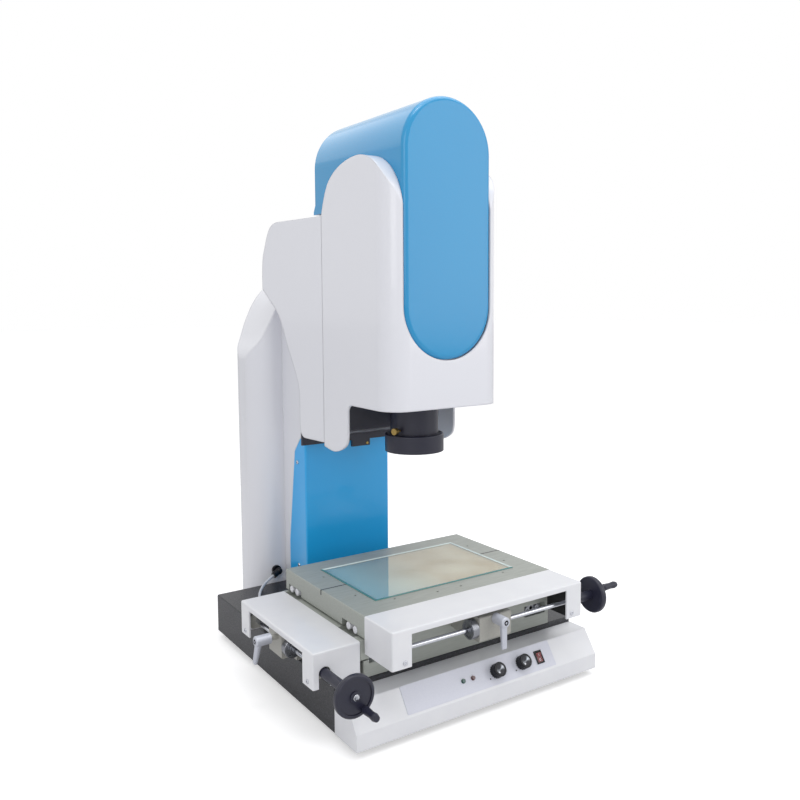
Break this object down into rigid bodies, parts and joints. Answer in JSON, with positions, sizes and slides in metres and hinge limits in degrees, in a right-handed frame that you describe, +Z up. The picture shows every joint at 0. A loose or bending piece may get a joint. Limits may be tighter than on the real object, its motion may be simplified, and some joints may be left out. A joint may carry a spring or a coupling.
{
  "type": "measuring microscope",
  "caption": "Bench video measuring microscope: granite base, glass stage on crossed-roller slides with hand wheels, and a column head with lens, ring light and camera that moves up and down.",
  "frame": {"origin": "on the bench, under the middle of the machine's overall footprint", "axes": "+Z up, +Y from the front control panel to the column, +X to the right as the operator faces it"},
  "size_m": [0.6259, 0.7869, 1.0489],
  "materials": {
    "granite": "honed granite, near black with a blue cast",
    "rubber": "matt black rubber",
    "white_paint": "glossy white powder coat",
    "white_shell": "glossy white moulding",
    "hood_blue": "glossy sky blue moulding",
    "panel_blue": "glossy blue powder coat",
    "label_grey": "pale lavender-grey film",
    "stage_grey": "hard anodised grey-green",
    "steel": "ground steel",
    "chrome": "hard chrome",
    "black_satin": "satin black",
    "black_plastic": "gloss black moulding",
    "cast_silver": "silver-grey textured coat on a casting",
    "warm_grey": "bead-blasted warm grey",
    "glass": "clear glass with a green edge",
    "lens_glass": "clear glass",
    "brass": "turned brass",
    "iron": "grey primer on cast iron",
    "led_board": "white board with clear lamps",
    "green_lamp": "green lamp",
    "red_lamp": "red lamp",
    "rocker_red": "translucent red",
    "spun_cap": "gloss black cap with spun rings",
    "white_print": "white print",
    "black_print": "black print",
    "cable_grey": "light grey cable sheath"
  },
  "bodies": {
    "base": {"granite_base": "granite", "levelling_feet": "rubber", "front_cover": "white_paint", "control_panel": "label_grey", "switch_bezel": "black_plastic", "dimmer_potentiometers": "steel", "green_led": "green_lamp", "red_led": "red_lamp", "contour_light_housing": "black_satin", "contour_condenser_lens": "lens_glass", "stage_base": "stage_grey", "y_rails_fixed": "steel", "y_block": "warm_grey", "y_ring_bearing": "steel", "column_core": "iron", "column_panel": "panel_blue", "column_panel_screws": "chrome", "z_rails": "steel", "rear_housing": "white_shell", "cable_glands": "black_plastic", "scale_cable": "cable_grey"},
    "y_stage": {"y_plate": "stage_grey", "y_rails_moving": "steel", "x_rails_fixed": "steel", "x_block": "warm_grey", "x_ring_bearing": "steel", "y_cover": "white_paint", "y_cover_screws": "chrome", "y_rod_bearings": "warm_grey"},
    "x_stage": {"x_plate": "stage_grey", "x_rails_moving": "steel", "stage_glass": "glass", "x_cover": "white_paint", "x_cover_screws": "chrome", "x_rod_bearings": "steel"},
    "x_drive": {"x_rod": "chrome", "x_hand_wheel": "black_satin"},
    "x_crank": {"x_crank_handle": "black_satin"},
    "y_drive": {"y_rod": "chrome", "y_hand_wheel": "black_satin"},
    "y_crank": {"y_crank_handle": "black_satin"},
    "x_clamp": {"x_lever": "cast_silver"},
    "y_clamp": {"y_lever": "cast_silver"},
    "surface_dial": {"surface_knob": "black_plastic"},
    "contour_dial": {"contour_knob": "black_plastic"},
    "power_switch": {"power_rocker": "rocker_red"},
    "head": {"z_carriage": "warm_grey", "dust_plate": "black_satin", "z_rack": "steel", "head_shell": "white_shell", "hood": "hood_blue", "lens_bracket": "black_satin", "zoom_lens": "black_satin", "camera": "black_satin", "ring_light_housing": "black_satin", "ring_light_leds": "led_board", "thumb_screw": "brass"},
    "zoom": {"zoom_ring": "black_satin"},
    "z_drive": {"z_pinion_shaft": "steel", "z_hand_wheel": "black_satin"}
  },
  "joints": [
    {"name": "y_slide", "type": "slide", "parent": "base", "child": "y_stage", "axis": [0, 1, 0], "range_m": [-0.075, 0.075]},
    {"name": "x_slide", "type": "slide", "parent": "y_stage", "child": "x_stage", "axis": [1, 0, 0], "range_m": [-0.125, 0.125]},
    {"name": "z_slide", "type": "slide", "parent": "base", "child": "head", "axis": [0, 0, 1], "range_m": [-0.15, 0]},
    {"name": "x_wheel_turn", "type": "hinge", "parent": "x_stage", "child": "x_drive", "pos_m": [0.2645, -0.3215, 0.154], "axis": [1, 0, 0], "range_deg": [-4510, 4510]},
    {"name": "x_crank_spin", "type": "hinge", "parent": "x_drive", "child": "x_crank", "pos_m": [0.2745, -0.34065, 0.17007], "axis": [1, 0, 0], "continuous": true},
    {"name": "y_wheel_turn", "type": "hinge", "parent": "y_stage", "child": "y_drive", "pos_m": [-0.2565, -0.3465, 0.118], "axis": [0, 1, 0], "range_deg": [-2710, 2710]},
    {"name": "y_crank_spin", "type": "hinge", "parent": "y_drive", "child": "y_crank", "pos_m": [-0.24325, -0.3555, 0.0968], "axis": [0, 1, 0], "continuous": true},
    {"name": "x_lever_turn", "type": "hinge", "parent": "y_stage", "child": "x_clamp", "pos_m": [0.0255, -0.3465, 0.169], "axis": [0, 1, 0], "range_deg": [0, 60]},
    {"name": "y_lever_turn", "type": "hinge", "parent": "base", "child": "y_clamp", "pos_m": [-0.2915, -0.1155, 0.133], "axis": [1, 0, 0], "range_deg": [0, 60]},
    {"name": "surface_knob_turn", "type": "hinge", "parent": "base", "child": "surface_dial", "pos_m": [0.0465, -0.31591, 0.06301], "axis": [0, -0.8148, 0.5797], "range_deg": [-150, 150]},
    {"name": "contour_knob_turn", "type": "hinge", "parent": "base", "child": "contour_dial", "pos_m": [0.1048, -0.31591, 0.06301], "axis": [0, -0.8148, 0.5797], "range_deg": [-150, 150]},
    {"name": "power_switch_rock", "type": "hinge", "parent": "base", "child": "power_switch", "pos_m": [0.1465, -0.31102, 0.05953], "axis": [1, 0, 0], "range_deg": [-14, 0]},
    {"name": "zoom_ring_turn", "type": "hinge", "parent": "head", "child": "zoom", "pos_m": [0.0185, -0.1045, 0.555], "axis": [0, 0, 1], "range_deg": [0, 180]},
    {"name": "z_wheel_turn", "type": "hinge", "parent": "base", "child": "z_drive", "pos_m": [0.1905, 0.3235, 0.447], "axis": [1, 0, 0], "range_deg": [-5, 580]}
  ],
  "couplings": [
    {"joint": "x_wheel_turn", "follows": "x_slide", "rad_per_m": 628.32},
    {"joint": "y_wheel_turn", "follows": "y_slide", "rad_per_m": 628.32},
    {"joint": "z_wheel_turn", "follows": "z_slide", "rad_per_m": -66.667}
  ]
}
